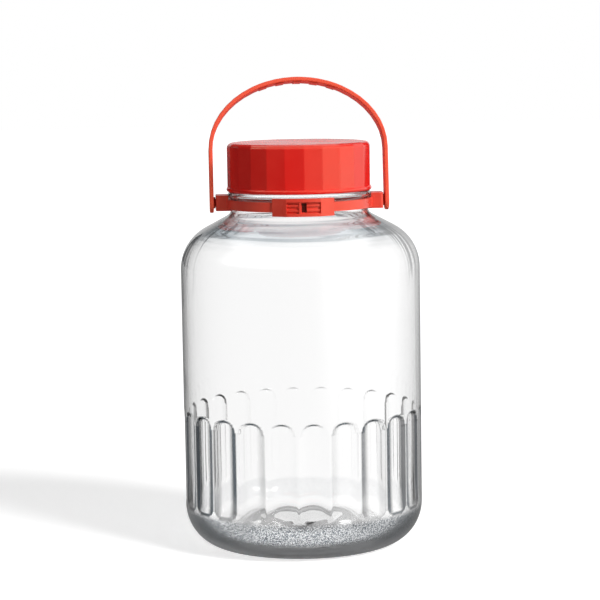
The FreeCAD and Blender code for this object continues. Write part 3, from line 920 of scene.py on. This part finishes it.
def makeClasp():
    s = collarSizes
    rows = [s["windowLow"], s["slotLow"]]
    for rib in s["ribs"]:
        rows += [rib - s["ribHeight"] / 2, rib + s["ribHeight"] / 2]
    rows += [s["slotHigh"], s["windowHigh"]]
    inner, outer = s["bandOuter"] - s["claspSink"], s["claspRadius"]
    points = [(inner, s["claspLow"]), (outer, s["claspLow"])]
    points += [(outer, row) for row in rows] + [(outer, s["claspHigh"]), (inner, s["claspHigh"])]
    clasp = drawOutline("claspBlock", points, closed=True)
    bpy.ops.mesh.select_all(action="SELECT")
    bpy.ops.mesh.edge_face_add()
    stops = [-s["claspHalf"], -s["flatHalf"], -s["windowHalf"], s["postLeft"], s["postRight"],
             s["slotLeft"], s["slotRight"], s["windowHalf"], s["flatHalf"], s["claspHalf"]]
    turns = [math.asin(stop / outer) for stop in stops]
    for start, end in zip(turns, turns[1:]):
        spinOn(end - start, max(1, round((end - start) * outer / s["claspColumn"])))
    closeUp(clasp)
    clasp.rotation_euler = (0, 0, turns[0] - math.pi / 2)
    settle(clasp)
    closeUp(clasp)
    # beyond the flat middle the face slopes straight back to the clasp's ends
    highY = math.sqrt(outer ** 2 - s["flatHalf"] ** 2)
    lowY = math.sqrt(s["endRadius"] ** 2 - s["claspHalf"] ** 2)
    for vertex in clasp.data.vertices:
        past = (abs(vertex.co.x) - s["flatHalf"]) / (s["claspHalf"] - s["flatHalf"])
        if past > 0 and math.hypot(vertex.co.x, vertex.co.y) > outer - hair:
            vertex.co.y = -highY + (highY - lowY) * past

    def onFace(left, right, low, high, radius):
        def wanted(middle, normal):
            level = math.hypot(middle.x, middle.y)
            outward = (normal.x * middle.x + normal.y * middle.y) / level
            across = outer * math.sin(math.atan2(middle.x, -middle.y))
            return (outward > 0.9 and abs(level - radius) < s["faceNear"]
                    and left < across < right and low < middle.z < high)
        return wanted

    recess = outer - s["windowDepth"]
    patches = [
        (-s["windowHalf"], s["windowHalf"], s["windowLow"], s["windowHigh"], outer, -s["windowDepth"]),
        (s["postLeft"], s["postRight"], s["windowLow"], s["windowHigh"], recess, s["postProud"]),
        (s["slotLeft"], s["slotRight"], s["slotLow"], s["slotHigh"], recess, -s["slotDepth"]),
    ]
    for rib in s["ribs"]:
        low, high = rib - s["ribHeight"] / 2, rib + s["ribHeight"] / 2
        for left, right in ((-s["windowHalf"], s["postLeft"]), (s["slotRight"], s["windowHalf"])):
            patches.append((left, right, low, high, recess, s["ribProud"]))
    for left, right, low, high, radius, distance in patches:
        pushFaces(clasp, onFace(left, right, low, high, radius), distance)
    return clasp


def makeLug(side):
    s = collarSizes
    inner = s["bandInner"] - s["lugSink"]
    deselectAll()
    bpy.ops.mesh.primitive_cube_add(
        size=1, location=(side * (s["lugReach"] + inner) / 2, 0, (s["lugLow"] + s["lugHigh"]) / 2),
        scale=(s["lugReach"] - inner, s["lugDepth"], s["lugHigh"] - s["lugLow"]))
    lug = nameNew("lug")
    settle(lug)
    selectEdges(lug, lambda middle, along: abs(along.z) > 0.9 and abs(middle.x) > s["lugReach"] - hair)
    bpy.ops.mesh.bevel(offset=s["lugRound"], segments=s["lugSteps"], affect="EDGES")
    backToObject()
    deselectAll()
    bpy.ops.mesh.primitive_cylinder_add(
        vertices=s["boreSteps"], radius=s["boreRadius"], depth=s["boreLength"],
        location=(side * (s["boreStart"] + s["boreLength"] / 2), 0, s["pinHeight"]),
        rotation=(0, math.pi / 2, 0))
    cutOrJoin(lug, nameNew("lugBore"), "DIFFERENCE")
    return lug


def makeCollar():
    s = collarSizes
    collar = drawOutline("neckCollar", [(s["bandInner"], s["bandLow"]), (s["bandOuter"], s["bandLow"]),
                                        (s["bandOuter"], s["bandHigh"]), (s["bandInner"], s["bandHigh"])],
                         closed=True)
    bpy.ops.mesh.select_all(action="SELECT")
    spinOn(2 * math.pi, s["steps"])
    closeUp(collar)
    cutOrJoin(collar, makeClasp(), "UNION")
    for side in (-1, 1):
        cutOrJoin(collar, makeLug(side), "UNION")
    # clears room for the jar's neck, and for its bead above the band
    for radius, low in ((s["bandInner"], s["lugLow"] - s["roomDrop"]), (s["ledge"], s["bandHigh"])):
        deselectAll()
        bpy.ops.mesh.primitive_cylinder_add(vertices=s["steps"], radius=radius, depth=s["roomHeight"],
                                            location=(0, 0, low + s["roomHeight"] / 2))
        cutOrJoin(collar, nameNew("neckRoom"), "DIFFERENCE")
    closeUp(collar)
    softenEdges(collar, s["edge"], s["edgeSteps"], s["edgeAngle"])
    closeUp(collar)
    shadeMoulded(collar)
    collar.data.materials.clear()
    collar.data.materials.append(collarPlastic)
    collar.data.materials.append(collarGapShade)
    # the deep part of the slot takes the painted shade finish
    floor = s["claspRadius"] - s["windowDepth"] - s["gapSink"]
    for polygon in collar.data.polygons:
        middle = polygon.center
        inGap = s["slotLeft"] < middle.x < s["slotRight"] and s["slotLow"] < middle.z < s["slotHigh"]
        inGap = inGap and middle.y < 0 and s["bandInner"] + mm < math.hypot(middle.x, middle.y) < floor
        polygon.material_index = 1 if inGap else 0
    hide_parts("neck_collar")
    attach(collar, "jar")
    print("collar made:", len(collar.data.polygons), "faces")


makeCollar()

handleSizes = {
    "pinHeight": 255.2 * mm, "lean": 9.5, "reach": 66.2 * mm, "thick": 3.0 * mm, "width": 15.0 * mm,
    "leg": 39.0 * mm, "legSteps": 3, "arch": 52.5 * mm, "archSteps": 24, "archGap": 1.6 * mm,
    "edge": 0.8 * mm, "edgeSteps": 3, "edgeAngle": 50,
    "bossRadius": 4.2 * mm, "bossEnd": 62.0 * mm, "pinRadius": 3.0 * mm, "pinEnd": 56.5 * mm, "pinSteps": 48,
    "pads": (-26 * mm, -13 * mm, 0, 13 * mm, 26 * mm), "padLength": 6.0 * mm, "padMargin": 1.5 * mm,
    "padProud": 0.6 * mm, "columns": 10,
}


def handlePath():
    # up one leg, over the arch and down the other, with a stop at either end of every pad
    s = handleSizes
    marks = {0.0}
    for pad in s["pads"]:
        marks.update((pad - s["padLength"] / 2, pad + s["padLength"] / 2))
    for step in range(1, s["archSteps"]):
        place = s["reach"] * math.cos(math.pi * step / s["archSteps"])
        if all(abs(place - mark) > s["archGap"] for mark in marks):
            marks.add(place)
    arch = [(place, s["leg"] + s["arch"] * math.sqrt(1 - (place / s["reach"]) ** 2))
            for place in sorted(marks)]
    foot = [(-s["reach"], 0)] + runPoints((-s["reach"], 0), (-s["reach"], s["leg"]), s["legSteps"])
    return foot + arch + [(-x, z) for x, z in reversed(foot)]


def makeHandle():
    s = handleSizes
    handle = drawOutline("bailHandle", handlePath())
    bpy.ops.mesh.select_all(action="SELECT")
    bpy.ops.transform.translate(value=(0, -s["width"] / 2, 0))
    inner = s["width"] / 2 - s["padMargin"]
    stops = [-inner + 2 * inner * step / (s["columns"] - 2) for step in range(s["columns"] - 1)]
    stops = [-s["width"] / 2] + stops + [s["width"] / 2]
    for start, end in zip(stops, stops[1:]):
        bpy.ops.mesh.extrude_region_move(TRANSFORM_OT_translate={"value": (0, end - start, 0)})
    closeUp(handle)
    for vertex in handle.data.vertices:      # rounds the strap's ends below the pins
        if abs(vertex.co.z) < hair:
            vertex.co.z = -math.sqrt(max(0, (s["width"] / 2) ** 2 - vertex.co.y ** 2))
    modifier = handle.modifiers.new("thickness", "SOLIDIFY")
    modifier.thickness = s["thick"]
    modifier.offset = -1
    modifier.use_even_offset = True
    applyModifiers(handle)
    closeUp(handle)
    softenEdges(handle, s["edge"], s["edgeSteps"], s["edgeAngle"])
    for pad in s["pads"]:
        def onPad(middle, normal):
            inwards = normal.z < -0.5 and middle.z > s["leg"]
            return inwards and abs(middle.x - pad) < s["padLength"] / 2 - hair and abs(middle.y) < inner
        pushFaces(handle, onPad, s["padProud"])
    for side in (-1, 1):
        root = s["reach"] - s["thick"] / 2
        for radius, end in ((s["bossRadius"], s["bossEnd"]), (s["pinRadius"], s["pinEnd"])):
            deselectAll()
            bpy.ops.mesh.primitive_cylinder_add(vertices=s["pinSteps"], radius=radius, depth=root - end,
                                                location=(side * (root + end) / 2, 0, 0),
                                                rotation=(0, math.pi / 2, 0))
            cutOrJoin(handle, nameNew("pin"), "UNION")
    closeUp(handle)
    handle.rotation_euler = (math.radians(-s["lean"]), 0, 0)
    handle.location = (0, 0, s["pinHeight"])
    settle(handle)
    shadeMoulded(handle)
    handle.data.materials.clear()
    handle.data.materials.append(handlePlastic)
    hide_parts("bail_handle")
    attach(handle, "bail")
    print("handle made:", len(handle.data.polygons), "faces")


makeHandle()
